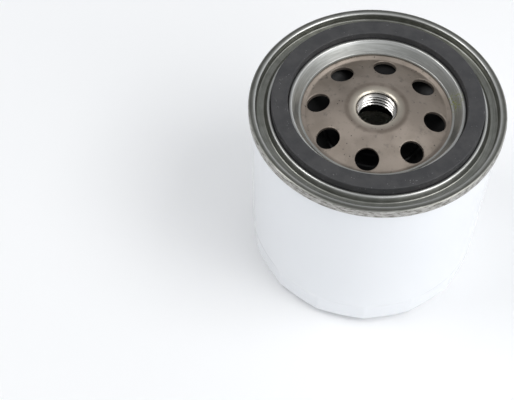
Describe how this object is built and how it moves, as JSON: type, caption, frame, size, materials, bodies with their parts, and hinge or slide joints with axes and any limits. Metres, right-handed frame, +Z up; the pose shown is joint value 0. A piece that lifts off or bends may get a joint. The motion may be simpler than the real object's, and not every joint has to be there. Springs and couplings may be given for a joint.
{
  "type": "spin-on oil filter",
  "caption": "Short round spin-on oil filter: white can with wrench flats, rolled seam, square-cut gasket, ported base plate with threaded collar, sprung pleated element.",
  "frame": {"origin": "centre of the closed end, on the surface that the filter stands on", "axes": "+Z up the axis of the can to the mounting face; +X from the axis through the middle of an inlet hole"},
  "size_m": [0.0762, 0.0762, 0.0699],
  "materials": {
    "white_paint": "glossy white enamel",
    "zinc_sheet": "zinc plated sheet, slightly olive, satin",
    "plate_steel": "plated pressed steel, warm grey, blotchy",
    "tin_plate": "tin plated sheet, satin",
    "spring_steel": "hard drawn wire, satin",
    "gasket_rubber": "moulded nitrile, matte with fine bloom",
    "valve_rubber": "moulded nitrile, satin black",
    "compound": "cured seam compound, matte grey",
    "filter_paper": "resin-treated pleated paper, matte",
    "plastisol": "cured plastisol, semi matte",
    "black_nylon": "moulded nylon, semi matte"
  },
  "bodies": {
    "housing": {"can": "white_paint", "seaming_lid": "zinc_sheet", "seam_sealant": "compound", "base_plate": "plate_steel", "gasket": "gasket_rubber", "element_spring": "spring_steel"},
    "drainback_flap": {"anti_drainback_valve": "valve_rubber"},
    "element": {"upper_end_cap": "tin_plate", "lower_end_cap": "tin_plate", "upper_glue": "plastisol", "lower_glue": "plastisol", "pleated_media": "filter_paper", "media_seam_clip": "tin_plate", "centre_tube": "tin_plate", "spring_washer": "spring_steel", "bypass_seat": "tin_plate", "bypass_cage": "tin_plate", "bypass_spring": "spring_steel"},
    "bypass_valve": {"bypass_poppet": "black_nylon", "bypass_seal": "valve_rubber"}
  },
  "joints": [
    {"name": "drainback_open", "type": "slide", "parent": "housing", "child": "drainback_flap", "axis": [0, 0, -1], "range_m": [0, 0.0015], "stiffness_N_per_m": 300, "springref_m": -0.001, "deforming": ["anti_drainback_valve"]},
    {"name": "element_travel", "type": "slide", "parent": "housing", "child": "element", "axis": [0, 0, -1], "range_m": [0, 0.002], "stiffness_N_per_m": 5000, "springref_m": -0.008, "deforming": ["element_spring"]},
    {"name": "bypass_lift", "type": "slide", "parent": "element", "child": "bypass_valve", "axis": [0, 0, 1], "range_m": [0, 0.003], "stiffness_N_per_m": 1500, "springref_m": -0.008, "deforming": ["bypass_spring"]}
  ]
}
